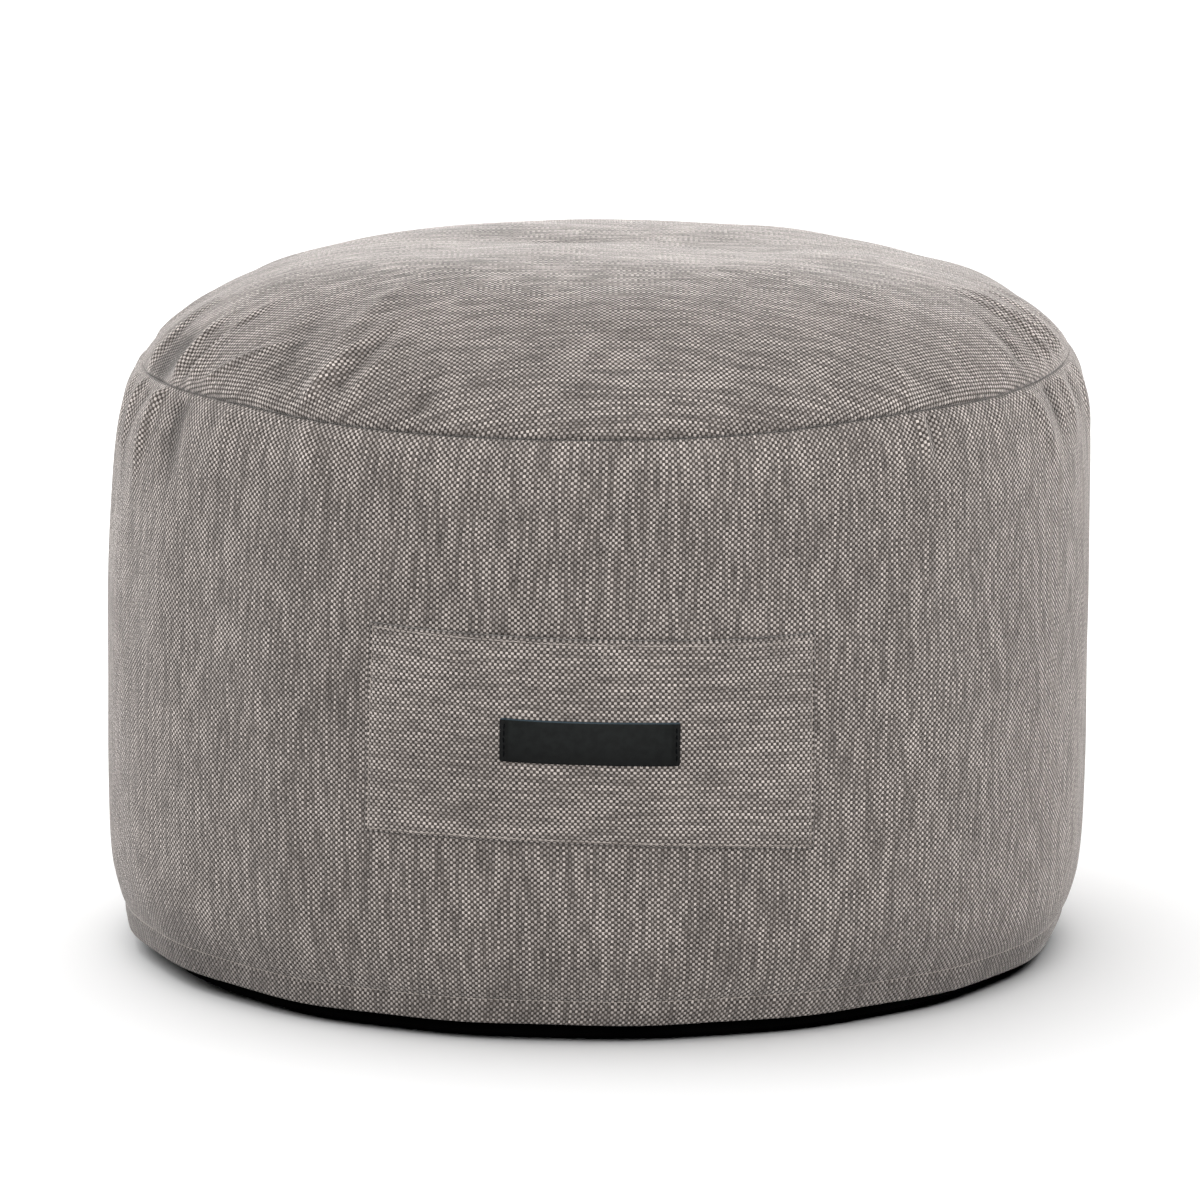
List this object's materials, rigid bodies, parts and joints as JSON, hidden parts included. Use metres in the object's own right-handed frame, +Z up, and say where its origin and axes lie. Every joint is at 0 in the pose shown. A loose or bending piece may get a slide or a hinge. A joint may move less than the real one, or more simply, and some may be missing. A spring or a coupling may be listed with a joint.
{
  "type": "round fabric footstool",
  "caption": "Low round filled footstool in coarse woven cloth, with a domed top panel, a black base panel and a patch pocket with a blank leather label on its side.",
  "frame": {"origin": "centre of the flat base, on the floor", "axes": "+Z up, -Y towards the front with the pocket, +X to the right seen from the front"},
  "size_m": [0.4998, 0.5091, 0.357],
  "materials": {
    "cloth": "coarse plain weave in beige-white and dark brown yarns, matt with a light sheen",
    "base_cloth": "plain matt black cloth",
    "leather": "smooth black leather with a low gloss"
  },
  "bodies": {
    "root": {"side_wall": "cloth", "top_panel": "cloth", "base_panel": "base_cloth", "side_pocket": "cloth", "label_tab": "leather"}
  },
  "joints": []
}
